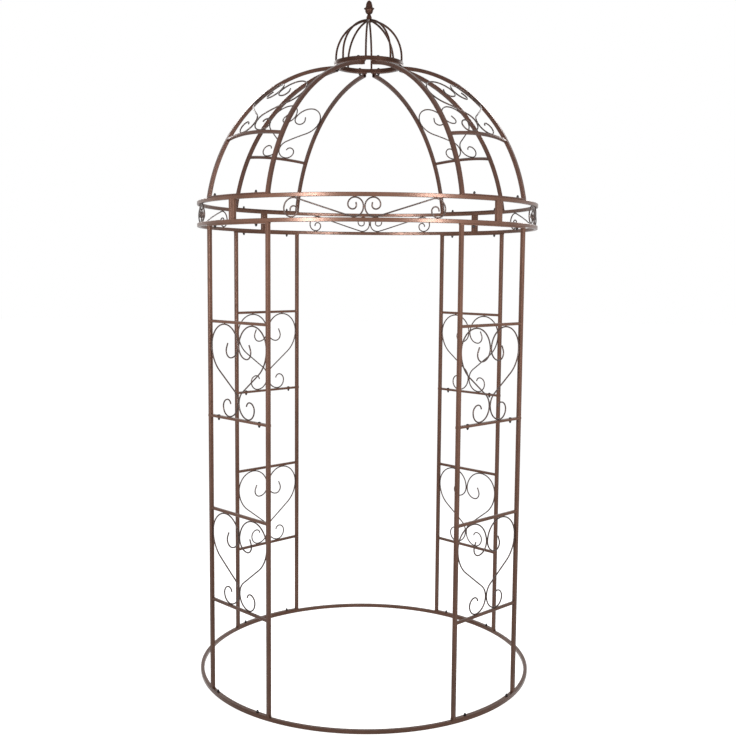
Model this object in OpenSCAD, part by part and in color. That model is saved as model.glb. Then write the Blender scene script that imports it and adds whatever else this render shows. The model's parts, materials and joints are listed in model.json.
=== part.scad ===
// Round garden pavilion of steel tube: four ladder walls with heart scrolls on a base ring,
// a scrolled band, a ribbed dome and a crown with a finial. Millimetres.
// Origin on the ground at the centre, +Z up, the front doorway faces -Y.

/* [Overall] */
// Radius of the base ring, the posts and the band, to the middle of the tube
ring_r = 750; // [600:5:950]
// Half the angle between the two posts of a ladder wall
post_half = 15; // [12:0.5:18]
// Height of the bottom crossbar above the ground
first_bar = 418; // [334:2:502]
// Height from each crossbar to the next one
bar_pitch = 398.5; // [330:0.5:480]

/* [Tube and bar] */
// Side of the square tube of ring, posts, band and ribs
tube = 16; // [13:0.5:20]
// Side of the square crossbars
bar = 12; // [9:0.5:15]
// Thickness of the flat strips that the ladders are bolted through
strip = 5; // [4:0.5:6]
// Diameter of the scroll rod
rod_d = 6; // [5:0.5:8]

/* [Heart scrolls] */
// Height of the heart's waist above its bottom bar, as a share of the heart's height
waist = 0.17; // [0.14:0.01:0.2]
// Share of the side bend in the way from shoulder to waist
shoulder = 0.83; // [0.75:0.01:0.88]

/* [Band] */
// Clear height between the band's two rails
band_gap = 79; // [60:1:100]

/* [Dome] */
// Slope of the ribs at the foot, from the horizontal
foot_slope = 80; // [70:1:84]
// Slope of the ribs at the crown
end_slope = 7.5; // [4:0.5:14]
// Radius at which the ribs end
crown_r = 146; // [122:2:176]
// Angle from each rib's end to the next ladder's, seen from above
rib_gap = 16; // [12:1:20]
// Outward bow of the dome's crossbar
bow = 25; // [15:1:35]

/* [Crown] */
// Side of the crown ring's square tube
crown_bar = 16; // [13:0.5:20]
// Diameter of the eight crown rods
crown_rod = 9; // [7:0.5:11]
// Bend radius of the crown rods
crown_bend = 165; // [150:5:200]
// Straight length at the foot of the crown rods
crown_foot = 20; // [4:1:40]
// Turn of the crown on the dome
crown_turn = -4; // [-8:1:8]
// Height of the finial above the crown rods
finial_h = 87; // [70:1:105]

/* [Hidden] */
$fn = 48;
bronze = [0.42, 0.27, 0.23];
scroll_grey = [0.30, 0.26, 0.25];
steel_grey = [0.22, 0.20, 0.20];

// clearances and fixings
seam = 0.4; // gap between neighbouring quarters of a ring
touch = 0.1; // how far a scroll rod stays off its mirror image
weld = 0.2; // how deep a tube's end sits in the piece it is welded to
bolt_d = 6;
hole_d = 6.6;
round_off = 1.7; // the corners taken off tubes and bars
bolt_turn = post_half * 0.7; // of the bolts from the middle of a ladder
crown_bolt_turn = 28; // of the crown's bolts from the middle of a ladder

// ladder walls
post_x = ring_r * sin(post_half); // post from the ladder's middle
wall_y = -ring_r * cos(post_half); // plane of the ladder, in front of the axis
gap_x = post_x - tube / 2; // middle to the inner face of a post
strip_x = post_x + tube / 2;
bolt_x = ring_r * sin(bolt_turn);
foot_z = tube + strip; // foot of the lower posts
joint_z = first_bar + 2 * bar_pitch; // where upper and lower ladder meet
head_z = first_bar + 4 * bar_pitch - strip; // head of the upper posts

// band
band_z = head_z + strip;
band_top = band_z + 2 * tube + band_gap;
dome_z = band_top + strip; // foot of the ribs

// heart scrolls: rod middle line, from the middle of the ladder and its bottom bar
heart_h = bar_pitch - bar - rod_d; // lowest to highest point of the middle line
heart_in = rod_d / 2 + touch;
heart_out = gap_x - rod_d / 2 - 0.02;
lobe_r = (heart_out - heart_in) / 2;
curl_r = waist * heart_h * 0.94; // first bend of the bottom curl
side_h = heart_h - lobe_r - curl_r; // shoulder down to waist
side_r = shoulder * side_h - curl_r;
side_dx = curl_r + heart_in - (heart_out - side_r);
side_d = norm([side_dx, side_h]);
side_l = sqrt(side_d * side_d - pow(side_r + curl_r, 2));
side_turn = atan2(side_r + curl_r, side_l) - asin(side_dx / side_d);

// dome ribs, in the local frame of a ladder
end_turn = 45 - rib_gap / 2;
end_x = crown_r * sin(end_turn);
end_y = -crown_r * cos(end_turn);
rib_dx = post_x - end_x;
rib_dy = end_y - wall_y;
rib_run = norm([rib_dx, rib_dy]);
rib_turn = atan2(rib_dx, rib_dy); // rib's plane from the ladder's middle plane
rib_r = rib_run / (sin(foot_slope) - sin(end_slope));
rib_c = rib_r * sin(foot_slope); // centre of the bend along the run
rib_cz = dome_z - rib_r * cos(foot_slope);
end_z = rib_cz + rib_r * cos(end_slope);
arch_slope = foot_slope - 20; // rib's slope at the dome crossbar
crown_z = end_z + tube / 2 + strip - 0.9; // foot of the crown ring

// crown
rods_z = crown_z + crown_bar;
hub_r = 13; // of the finial's foot, which the rods end in
rod_turn = acos(1 - (crown_r - hub_r + 0.5) / crown_bend);
rods_top = rods_z + crown_foot + crown_bend * sin(rod_turn);

// ---- shapes used by many pieces ----

// Bends a round rod in its own plane: each step is [bend radius, turn], or [0, length].
// The balls that close the joints between bends are a hair thicker than the rod.
module bent_rod(steps, d, i = 0) {
    ease = 0.3;
    sphere(d = d * 1.04);
    if (i < len(steps)) {
        r = steps[i][0];
        a = steps[i][1];
        if (r == 0) {
            translate([ease, 0, 0]) rotate([0, 90, 0]) cylinder(d = d, h = a - 2 * ease);
            translate([a, 0, 0]) bent_rod(steps, d, i + 1);
        } else {
            s = sign(a);
            e = ease / r * 180 / PI;
            translate([0, s * r, 0]) rotate([0, 0, s > 0 ? -90 + e : 90 + a + e])
                rotate_extrude(angle = abs(a) - 2 * e) translate([r, 0]) circle(d = d);
            translate([0, s * r, 0]) rotate([0, 0, a]) translate([0, -s * r, 0])
                bent_rod(steps, d, i + 1);
        }
    }
}

// The points along such a rod, for one that is bent to a curved surface as well.
function bend_points(steps, p, h, i = 0) =
    i == len(steps) ? [p] :
    let (r = steps[i][0], a = steps[i][1])
    r == 0 ?
        let (n = max(1, round(a / 45)), u = [cos(h), sin(h)])
        concat([for (k = [0 : n - 1]) p + u * a * k / n],
            bend_points(steps, p + u * a, h, i + 1)) :
        let (n = max(2, ceil(abs(a) / 22)), s = sign(a), c = p + s * r * [-sin(h), cos(h)])
        concat([for (k = [0 : n - 1]) c + s * r * [sin(h + a * k / n), -cos(h + a * k / n)]],
            bend_points(steps, c + s * r * [sin(h + a), -cos(h + a)], h + a, i + 1));

function unit(v) = v / norm(v);

// Sweeps a six-sided rod along points; normals give each ring's up direction.
module swept_rod(points, normals, d) {
    n = len(points);
    k = 6;
    rr = d / 2 * 1.05;
    along = [for (i = [0 : n - 1]) unit(points[min(i + 1, n - 1)] - points[max(i - 1, 0)])];
    up = [for (i = [0 : n - 1]) unit(normals[i] - along[i] * (normals[i] * along[i]))];
    side = [for (i = [0 : n - 1]) cross(along[i], up[i])];
    ring = [for (i = [0 : n - 1], j = [0 : k - 1])
        points[i] + rr * (cos(360 * j / k) * side[i] + sin(360 * j / k) * up[i])];
    polyhedron(ring, concat(
        [[for (j = [k - 1 : -1 : 0]) j]],
        [for (i = [0 : n - 2], j = [0 : k - 1])
            [i * k + j, i * k + (j + 1) % k, (i + 1) * k + (j + 1) % k, (i + 1) * k + j]],
        [[for (j = [0 : k - 1]) (n - 1) * k + j]]));
}

// Puts a ladder's pieces at a wall: the ladder's middle plane turned to an angle from the front.
module at_wall(turn) {
    rotate([0, 0, turn]) children();
}

// A curved flat or square bar about the axis, between two angles from the front.
module arc_bar(r, width, height, from, to) {
    rotate([0, 0, from - 90])
        rotate_extrude(angle = to - from, $fn = 96)
            translate([r - width / 2, 0]) square([width, height]);
}

// The section of a tube or bar, with its corners off, from its lower inner corner.
module section(w) {
    c = min(round_off, w * 0.12);
    polygon([[c, 0], [w - c, 0], [w, c], [w, w - c], [w - c, w], [c, w], [0, w - c], [0, c]]);
}

// The same, bent about the axis between two angles from the front.
module arc_tube(r, width, from, to) {
    rotate([0, 0, from - 90])
        rotate_extrude(angle = to - from, $fn = 96)
            translate([r - width / 2, 0]) section(width);
}

module bolt_holes(z, h, turn, r = ring_r) {
    for (s = [-1, 1])
        rotate([0, 0, s * turn]) translate([0, -r, z]) cylinder(d = hole_d, h = h);
}

// Domed head above or below a strip.
module bolt_head(z, up) {
    translate([0, 0, z]) mirror([0, 0, up ? 0 : 1]) {
        cylinder(d = 13, h = 1.6);
        translate([0, 0, 1.6]) cylinder(d1 = 13, d2 = 7, h = 2.9);
    }
}

// Pointed cap nut above or below a strip.
module cap_nut(z, up) {
    translate([0, 0, z]) mirror([0, 0, up ? 0 : 1]) {
        cylinder(d = 11.5, h = 5, $fn = 6);
        translate([0, 0, 5]) cylinder(d1 = 9.6, d2 = 3, h = 6);
    }
}

// ---- base ring ----

module base_quarter(turn) {
    half_seam = asin(seam / 2 / ring_r);
    color(bronze) at_wall(turn)
        difference() {
            arc_tube(ring_r, tube, -45 + half_seam, 45 - half_seam);
            for (s = [-1, 1])
                rotate([0, 0, s * (45 - bolt_turn)]) translate([0, -ring_r, tube - 12])
                    cylinder(d = hole_d, h = 13);
        }
}

// ---- ladder walls ----

module posts(z0, z1) {
    for (s = [-1, 1])
        translate([s * post_x - tube / 2, wall_y - tube / 2, z0 - weld])
            linear_extrude(z1 - z0 + 2 * weld) section(tube);
}

module crossbar(z) {
    translate([-gap_x - weld, wall_y - bar / 2, z - bar / 2]) rotate([90, 0, 90])
        linear_extrude(2 * (gap_x + weld)) section(bar);
}

module curved_strip(z) {
    reach = asin(strip_x / ring_r);
    difference() {
        arc_bar_at(z, reach);
        bolt_holes(z - 1, strip + 2, bolt_turn);
    }
}

module arc_bar_at(z, reach) {
    translate([0, 0, z]) arc_bar(ring_r, tube, strip, -reach, reach);
}

module joint_strip(z) {
    difference() {
        translate([-strip_x, wall_y - tube / 2, z]) cube([2 * strip_x, tube, strip]);
        for (s = [-1, 1])
            translate([s * bolt_x, wall_y, z - 1]) cylinder(d = hole_d, h = strip + 2);
    }
}

module lower_ladder(turn) {
    color(bronze) at_wall(turn) {
        posts(foot_z, joint_z - strip);
        curved_strip(tube);
        crossbar(first_bar);
        crossbar(first_bar + bar_pitch);
        joint_strip(joint_z - strip);
    }
}

module upper_ladder(turn) {
    color(bronze) at_wall(turn) {
        posts(joint_z + strip, head_z);
        joint_strip(joint_z);
        crossbar(first_bar + 3 * bar_pitch);
        curved_strip(head_z);
    }
}

// One scroll of a heart, drawn from the top of its lobe both ways.
module heart_scroll() {
    bent_rod([[lobe_r, -90], [side_r, -side_turn], [0, side_l], [curl_r, side_turn + 90],
        [curl_r * 0.66, 90], [curl_r * 0.5, 90], [curl_r * 0.34, 80]], rod_d);
    mirror([1, 0, 0])
        bent_rod([[lobe_r, -84], [lobe_r * 0.56, -96], [lobe_r * 0.32, -114],
            [0, lobe_r * 0.22]], rod_d);
}

module heart(turn, bar_z, floor_h) {
    lobe_x = heart_in + lobe_r;
    top = bar_z + floor_h + rod_d / 2 + heart_h;
    color(scroll_grey) at_wall(turn)
        translate([0, wall_y, top]) rotate([90, 0, 0]) {
            for (m = [0, 1])
                mirror([m, 0, 0]) translate([lobe_x, 0, 0]) heart_scroll();
            translate([-2, curl_r - heart_h - 6, -2]) cube([4, 12, 4]);
        }
}

// ---- band ----

module band_quarter(turn) {
    half_seam = asin(seam / 2 / ring_r);
    edge = 45 - half_seam;
    deep = min(round_off, tube * 0.12) - 0.1; // closes the gap at the rails' corners
    color(bronze) at_wall(turn) {
        difference() {
            translate([0, 0, band_z]) arc_tube(ring_r, tube, -edge, edge);
            for (s = [-1, 1])
                rotate([0, 0, s * (45 - bolt_turn)]) translate([0, -ring_r, band_z - 1])
                    cylinder(d = hole_d, h = 13);
        }
        difference() {
            translate([0, 0, band_top - tube]) arc_tube(ring_r, tube, -edge, edge);
            for (s = [-1, 1])
                rotate([0, 0, s * (45 - bolt_turn)]) translate([0, -ring_r, band_top - 12])
                    cylinder(d = hole_d, h = 13);
        }
        for (s = [-1, 1])
            rotate([0, 0, s * (edge - asin(tube / 2 / ring_r))])
                translate([-tube / 2, -ring_r - tube / 2, band_z + tube - deep])
                    linear_extrude(band_gap + 2 * deep) section(tube);
    }
}

// The band's scroll, along the arc and up from the lower rail's top.
band_k = (band_gap - rod_d) / 72;
band_low = 36 * band_k; // first bend below the meeting point
band_top_r = 40 * band_k; // first bend of the outer spiral
band_dx = 236 * band_k;
band_rise = band_gap - rod_d - band_low - band_top_r;
band_l = sqrt(band_dx * band_dx + band_rise * band_rise - pow(band_low + band_top_r, 2));
band_lift = atan2(band_low + band_top_r, band_l) + atan2(band_rise, band_dx);
band_in = [[0, 4 * band_k], [32 * band_k, -90], [26 * band_k, -90], [18 * band_k, -90],
    [14 * band_k, -100], [0, 8 * band_k]];
band_out = [[band_low, 90 + band_lift], [0, band_l], [band_top_r, -band_lift - 90],
    [32 * band_k, -90], [25 * band_k, -90], [16 * band_k, -90], [14 * band_k, -100]];

function reversed(list) = [for (i = [len(list) - 1 : -1 : 0]) list[i]];

function band_path() =
    let (start = [rod_d / 2 + touch, rod_d / 2 + band_low])
    let (inward = bend_points(band_in, start, 90), outward = bend_points(band_out, start, -90))
    concat(reversed(inward), [for (i = [1 : len(outward) - 1]) outward[i]]);

module band_scroll(turn) {
    path = band_path();
    color(scroll_grey) at_wall(turn)
        for (s = [-1, 1])
            mirror([s > 0 ? 0 : 1, 0, 0])
                swept_rod(
                    [for (p = path) let (a = p[0] / ring_r * 180 / PI)
                        [ring_r * sin(a), -ring_r * cos(a), band_z + tube + p[1]]],
                    [for (p = path) let (a = p[0] / ring_r * 180 / PI) [sin(a), -cos(a), 0]],
                    rod_d);
}

// ---- dome ----

// A rib in its own vertical plane: run along +X, up along +Z, foot at the origin's run.
module rib_arc(side, slope_lo, slope_hi) {
    translate([rib_c, 0, rib_cz]) rotate([90, 0, 0])
        rotate([0, 0, 90 + slope_lo])
            rotate_extrude(angle = slope_hi - slope_lo, $fn = 96)
                translate([rib_r - side / 2, -side / 2]) section(side);
}

module rib() {
    difference() {
        rib_arc(tube, end_slope - 1.5, foot_slope + 1.5);
        rib_arc(tube - 3, end_slope - 2, end_slope + 5);
        translate([-100, -50, dome_z - 100]) cube([200, 100, 100]);
        translate([rib_run, -50, end_z - 100]) cube([100, 100, 200]);
    }
}

// The dome crossbar's middle: where the ribs have that slope.
arch_run = rib_c - rib_r * sin(arch_slope);
arch_z = rib_cz + rib_r * cos(arch_slope);
arch_x = post_x - rib_dx * arch_run / rib_run;
arch_y = wall_y + rib_dy * arch_run / rib_run;
arch_r = (arch_x * arch_x + bow * bow) / (2 * bow);
arch_half = asin(arch_x / arch_r);

module dome_crossbar() {
    translate([0, arch_y, arch_z]) rotate([arch_slope - 90, 0, 0])
        translate([0, arch_r - bow, -bar / 2])
            arc_tube(arch_r, bar, -arch_half, arch_half);
}

module crown_strip() {
    reach = asin((end_x + tube / 2) / crown_r);
    z = crown_z - strip;
    difference() {
        translate([0, 0, z]) arc_bar(crown_r, tube, strip, -reach, reach);
        bolt_holes(z - 1, strip + 2, crown_bolt_turn, crown_r);
    }
}

module dome_ladder(turn) {
    color(bronze) at_wall(turn) {
        for (m = [0, 1])
            mirror([m, 0, 0])
                translate([-post_x, wall_y, 0]) rotate([0, 0, 90 - rib_turn]) rib();
        difference() {
            union() {
                arc_bar_at(band_top, asin(strip_x / ring_r));
            }
            bolt_holes(band_top - 1, strip + 2, bolt_turn);
        }
        dome_crossbar();
        crown_strip();
    }
}

// A point of a flat heart laid on the bowed surface between the ribs.
// p runs across and up the heart; the result is the point and the surface's outward direction.
dome_heart_k = 0.78; // height of the dome's heart against a wall's
function rib_half(slope) = post_x - rib_dx * (rib_c - rib_r * sin(slope)) / rib_run;
function on_dome(p) =
    let (v = (p[1] * dome_heart_k + bar / 2 + rod_d / 2) / rib_r * 180 / PI)
    let (slope = arch_slope - v, run = rib_c - rib_r * sin(slope))
    let (half = rib_half(slope), room = half - tube / 2 / cos(rib_turn) - rod_d / 2 - 0.1)
    let (x = heart_in + (p[0] - heart_in) * (room - heart_in) / (heart_out - heart_in))
    let (out = bow * pow(half / arch_x, 2) * (1 - pow(x / half, 2)))
    let (n = [0, -sin(slope), cos(slope)])
    [[x, wall_y + rib_dy * run / rib_run, rib_cz + rib_r * cos(slope)] + out * n, n];

function heart_path() =
    let (top = [heart_in + lobe_r, heart_h])
    let (inward = bend_points([[lobe_r, 84], [lobe_r * 0.56, 96], [lobe_r * 0.32, 114],
        [0, lobe_r * 0.22]], top, 180))
    let (outward = bend_points([[lobe_r, -90], [side_r, -side_turn], [0, side_l],
        [curl_r, side_turn + 90], [curl_r * 0.66, 90], [curl_r * 0.5, 90],
        [curl_r * 0.34, 80]], top, 0))
    concat(reversed(inward), [for (i = [1 : len(outward) - 1]) outward[i]]);

module dome_heart(turn) {
    laid = [for (p = heart_path()) on_dome(p)];
    color(scroll_grey) at_wall(turn)
        for (s = [-1, 1])
            mirror([s > 0 ? 0 : 1, 0, 0])
                swept_rod([for (q = laid) q[0]], [for (q = laid) q[1]], rod_d);
}

// ---- crown ----

module crown_ring() {
    color(bronze)
        difference() {
            translate([0, 0, crown_z])
                rotate_extrude($fn = 96)
                    translate([crown_r - crown_bar / 2, 0]) section(crown_bar);
            for (q = [45, 135, -135, -45])
                rotate([0, 0, q]) bolt_holes(crown_z - 1, crown_bar + 2, crown_bolt_turn, crown_r);
        }
}

module crown_rods() {
    color(bronze)
        for (i = [0 : 7])
            rotate([0, 0, 45 * i + crown_turn]) {
                translate([0, -crown_r, rods_z]) cylinder(d = crown_rod, h = crown_foot - 0.3);
                translate([0, -crown_r, rods_z + crown_foot]) sphere(d = crown_rod * 1.03);
                translate([0, crown_bend - crown_r, rods_z + crown_foot]) rotate([90, 0, 90])
                    rotate([0, 0, 180 - rod_turn])
                        rotate_extrude(angle = rod_turn - 0.1)
                            translate([crown_bend, 0]) circle(d = crown_rod);
            }
}

module finial() {
    k = finial_h / 87;
    color(bronze) translate([0, 0, rods_top - 7])
        rotate_extrude($fn = 96)
            polygon(concat(
                [[0, 0], [hub_r, 0], [hub_r, 13], [12.2, 20], [9.5, 27], [6.5, 32 * k], [9.5, 35 * k],
                    [14, 38 * k], [17, 45 * k], [19, 53 * k], [23.5, 58 * k], [17, 62 * k]],
                [for (i = [0 : 7]) [15.8 * cos(i * 90 / 8), (62 + 31 * sin(i * 90 / 8)) * k]],
                [[0, 93 * k]]));
}

// ---- bolts ----

module base_bolts() {
    color(steel_grey)
        for (q = [45, 135, -135, -45], s = [-1, 1])
            rotate([0, 0, q + s * bolt_turn]) translate([0, -ring_r, 0]) {
                translate([0, 0, tube - 11]) cylinder(d = bolt_d, h = 11 + strip);
                cap_nut(tube + strip, true);
            }
}

module joint_bolts() {
    color(steel_grey)
        for (q = [45, 135, -135, -45], s = [-1, 1])
            rotate([0, 0, q]) translate([s * bolt_x, wall_y, 0]) {
                translate([0, 0, joint_z - strip]) cylinder(d = bolt_d, h = 2 * strip);
                bolt_head(joint_z + strip, true);
                cap_nut(joint_z - strip, false);
            }
}

module band_bolts() {
    color(steel_grey)
        for (q = [45, 135, -135, -45], s = [-1, 1])
            rotate([0, 0, q + s * bolt_turn]) translate([0, -ring_r, 0]) {
                translate([0, 0, head_z]) cylinder(d = bolt_d, h = strip + 11);
                cap_nut(head_z, false);
            }
}

module dome_bolts() {
    color(steel_grey)
        for (q = [45, 135, -135, -45], s = [-1, 1])
            rotate([0, 0, q + s * bolt_turn]) translate([0, -ring_r, 0]) {
                translate([0, 0, band_top - 11]) cylinder(d = bolt_d, h = strip + 11);
                cap_nut(dome_z, true);
            }
}

module crown_bolts() {
    color(steel_grey)
        for (q = [45, 135, -135, -45], s = [-1, 1])
            rotate([0, 0, q + s * crown_bolt_turn]) translate([0, -crown_r, 0]) {
                translate([0, 0, crown_z - strip]) cylinder(d = bolt_d, h = strip + crown_bar);
                bolt_head(crown_z + crown_bar, true);
                cap_nut(crown_z - strip, false);
            }
}

// ---- the pavilion ----

base_quarter(0);  // base_ring_front
base_quarter(90);  // base_ring_right
base_quarter(180);  // base_ring_back
base_quarter(-90);  // base_ring_left
lower_ladder(-45);  // lower_ladder_front_left
lower_ladder(45);  // lower_ladder_front_right
lower_ladder(-135);  // lower_ladder_back_left
lower_ladder(135);  // lower_ladder_back_right
upper_ladder(-45);  // upper_ladder_front_left
upper_ladder(45);  // upper_ladder_front_right
upper_ladder(-135);  // upper_ladder_back_left
upper_ladder(135);  // upper_ladder_back_right
heart(-45, first_bar, bar / 2);  // lower_heart_front_left
heart(45, first_bar, bar / 2);  // lower_heart_front_right
heart(-135, first_bar, bar / 2);  // lower_heart_back_left
heart(135, first_bar, bar / 2);  // lower_heart_back_right
heart(-45, joint_z, strip);  // upper_heart_front_left
heart(45, joint_z, strip);  // upper_heart_front_right
heart(-135, joint_z, strip);  // upper_heart_back_left
heart(135, joint_z, strip);  // upper_heart_back_right
band_quarter(0);  // band_front
band_quarter(90);  // band_right
band_quarter(180);  // band_back
band_quarter(-90);  // band_left
band_scroll(0);  // band_scroll_front
band_scroll(90);  // band_scroll_right
band_scroll(180);  // band_scroll_back
band_scroll(-90);  // band_scroll_left
dome_ladder(-45);  // dome_ladder_front_left
dome_ladder(45);  // dome_ladder_front_right
dome_ladder(-135);  // dome_ladder_back_left
dome_ladder(135);  // dome_ladder_back_right
dome_heart(-45);  // dome_heart_front_left
dome_heart(45);  // dome_heart_front_right
dome_heart(-135);  // dome_heart_back_left
dome_heart(135);  // dome_heart_back_right
crown_ring();
crown_rods();
finial();
base_bolts();
joint_bolts();
band_bolts();
dome_bolts();
crown_bolts();
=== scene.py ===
"""Looks of a round garden pavilion of powder-coated steel tube.

The tubes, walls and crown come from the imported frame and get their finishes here. The rolled
scrolls, the bolts and the weld beads are modelled here as finer pieces that stand for, or sit on,
the same places. All lengths are in metres and all angles in degrees, with the origin on the
ground in the middle, +Z up and the front doorway towards -Y.
"""

from __future__ import annotations

import json
import logging
import math
from collections.abc import Callable, Iterable, Sequence
from dataclasses import dataclass, field
from enum import Enum
from typing import ClassVar

import bmesh
import bpy
from mathutils import Matrix, Vector, noise

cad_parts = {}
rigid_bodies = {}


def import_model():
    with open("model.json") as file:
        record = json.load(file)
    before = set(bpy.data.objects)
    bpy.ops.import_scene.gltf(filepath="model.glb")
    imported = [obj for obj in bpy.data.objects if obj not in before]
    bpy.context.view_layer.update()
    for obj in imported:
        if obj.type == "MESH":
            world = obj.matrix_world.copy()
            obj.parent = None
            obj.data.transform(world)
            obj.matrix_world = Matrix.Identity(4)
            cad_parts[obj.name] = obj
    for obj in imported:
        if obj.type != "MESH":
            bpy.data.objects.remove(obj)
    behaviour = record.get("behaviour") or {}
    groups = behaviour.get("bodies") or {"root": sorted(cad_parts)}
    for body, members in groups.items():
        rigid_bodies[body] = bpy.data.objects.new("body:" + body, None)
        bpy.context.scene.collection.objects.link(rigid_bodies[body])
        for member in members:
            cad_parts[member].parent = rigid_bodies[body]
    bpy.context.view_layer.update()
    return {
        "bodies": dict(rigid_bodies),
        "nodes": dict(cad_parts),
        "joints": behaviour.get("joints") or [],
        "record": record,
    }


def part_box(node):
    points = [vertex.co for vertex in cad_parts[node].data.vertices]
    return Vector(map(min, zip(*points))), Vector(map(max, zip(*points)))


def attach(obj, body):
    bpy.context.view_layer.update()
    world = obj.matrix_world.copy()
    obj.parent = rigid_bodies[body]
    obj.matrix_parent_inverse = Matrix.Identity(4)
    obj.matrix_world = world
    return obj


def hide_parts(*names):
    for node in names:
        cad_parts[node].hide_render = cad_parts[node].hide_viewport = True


LOG = logging.getLogger("pavilion")
SHARP_ANGLE = 38.0  # degrees between two faces, above which their edge stays sharp
MERGE = 1e-6  # metres within which points of a lathed piece are one
TOUCH = 0.0001  # metres that a scroll rod stays off its neighbour
ROD_END = ((0.30, 0.93), (0.46, 0.74), (0.52, 0.40))  # how far out and how wide, in rod radii
RUN_STEP = 0.012  # metres, about, between the points of a straight run
LUMP_DEPTH = 0.16  # share of a weld spot's size by which its lumps stand out
LUMP_PACE = 420.0  # how quickly the lumps follow one another


def sin(angle: float) -> float:
    """Returns the sine of an angle in degrees."""
    return math.sin(math.radians(angle))


def cos(angle: float) -> float:
    """Returns the cosine of an angle in degrees."""
    return math.cos(math.radians(angle))


# ---- sizes shared by the sub-assemblies ----


class Quarter(Enum):
    """The four quarters of a ring, named by the side they face, with their turn from the front."""

    FRONT = 0.0
    RIGHT = 90.0
    BACK = 180.0
    LEFT = -90.0

    @property
    def title(self) -> str:
        """Returns the quarter's name as the frame's nodes spell it."""
        return self.name.lower()


class Ladder(Enum):
    """The four ladder walls, named by the corner they stand in, with their turn from the front."""

    FRONT_LEFT = -45.0
    FRONT_RIGHT = 45.0
    BACK_LEFT = -135.0
    BACK_RIGHT = 135.0

    @property
    def title(self) -> str:
        """Returns the ladder's name as the frame's nodes spell it."""
        return self.name.lower()


class Slot(Enum):
    """The material slots of the record."""

    FRAME_TUBE = "frame_tube"
    SCROLL_ROD = "scroll_rod"
    FIXINGS = "fixings"


@dataclass(frozen=True)
class PavilionSizes:
    """The sizes that the sub-assemblies follow.

    Heights that the frame already knows are read from it with from_frame.
    """

    band_low: float
    band_top: float
    joint: float
    crown_low: float
    crown_high: float
    ring_radius: float = 0.750
    post_half: float = 15.0
    first_bar: float = 0.418
    bar_pitch: float = 0.3985
    tube: float = 0.016
    bar: float = 0.012
    strip: float = 0.005
    rod: float = 0.006
    crown_radius: float = 0.146
    crown_rod: float = 0.009
    crown_rods: int = 8
    crown_turn: float = -4.0
    crown_bolt_turn: float = 28.0
    foot_slope: float = 80.0
    end_slope: float = 7.5
    rib_gap: float = 16.0
    bow: float = 0.025

    @classmethod
    def from_frame(cls) -> PavilionSizes:
        """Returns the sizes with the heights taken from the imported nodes."""
        band_low, band_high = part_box("band_front")
        upper_low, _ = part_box("upper_ladder_front_left")
        crown_low, crown_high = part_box("crown_ring")
        return cls(
            band_low=band_low.z,
            band_top=band_high.z,
            joint=upper_low.z,
            crown_low=crown_low.z,
            crown_high=crown_high.z,
        )

    @property
    def post_x(self) -> float:
        """Returns the distance of a post from its ladder's middle plane."""
        return self.ring_radius * sin(self.post_half)

    @property
    def wall_y(self) -> float:
        """Returns where the ladder's own plane lies, in front of the axis."""
        return -self.ring_radius * cos(self.post_half)

    @property
    def gap_x(self) -> float:
        """Returns the distance from a ladder's middle to a post's inner face."""
        return self.post_x - self.tube / 2

    @property
    def bolt_turn(self) -> float:
        """Returns the angle of the ring bolts from a ladder's middle."""
        return self.post_half * 0.7

    @property
    def dome_foot(self) -> float:
        """Returns the height at which the ribs start."""
        return self.band_top + self.strip


def at_turn(turn: float) -> Matrix:
    """Returns the turn about the axis that brings a front piece to its place."""
    return Matrix.Rotation(math.radians(turn), 4, "Z")


# ---- finishes, with painted shade and painted edge highlights ----


class ShaderGroup:
    """A node group with named sockets, built once and placed in each material that uses it."""

    name: str = "shader group"

    def __init__(self) -> None:
        """Builds the group's tree."""
        self.tree = bpy.data.node_groups.new(self.name, "ShaderNodeTree")
        self.entry = self.tree.nodes.new("NodeGroupInput")
        self.exit = self.tree.nodes.new("NodeGroupOutput")
        self.build()

    def build(self) -> None:
        """Adds the sockets and nodes; each effect gives its own."""
        raise NotImplementedError

    def take(self, name: str, kind: str, default: object = None) -> None:
        """Adds an input socket.

        Args:
            name: The socket's name.
            kind: Its type, without the NodeSocket prefix.
            default: Its value where nothing is linked to it.
        """
        socket = self.tree.interface.new_socket(name, in_out="INPUT", socket_type="NodeSocket" + kind)
        if default is not None:
            socket.default_value = default

    def give(self, name: str, kind: str) -> None:
        """Adds an output socket of that name and kind."""
        self.tree.interface.new_socket(name, in_out="OUTPUT", socket_type="NodeSocket" + kind)

    def node(self, kind: str, **values: object) -> bpy.types.Node:
        """Adds a node.

        Args:
            kind: The node's type, without the ShaderNode prefix.
            **values: Attributes to set on it.

        Returns:
            The new node.
        """
        made = self.tree.nodes.new("ShaderNode" + kind)
        for key, value in values.items():
            setattr(made, key, value)
        return made

    def noise(self, detail: float, roughness: float = 0.5) -> bpy.types.Node:
        """Returns a new noise of that detail and roughness."""
        made = self.node("TexNoise")
        made.inputs["Detail"].default_value = detail
        made.inputs["Roughness"].default_value = roughness
        return made

    def spread(self, low: float, high: float) -> bpy.types.Node:
        """Returns a new node that spreads the values from low to high over 0 to 1."""
        made = self.node("MapRange")
        made.inputs["From Min"].default_value = low
        made.inputs["From Max"].default_value = high
        return made

    def wire(self, *ends: tuple[bpy.types.NodeSocket, bpy.types.NodeSocket]) -> None:
        """Joins each pair of sockets, from the first to the second."""
        for source, target in ends:
            self.tree.links.new(source, target)


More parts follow.
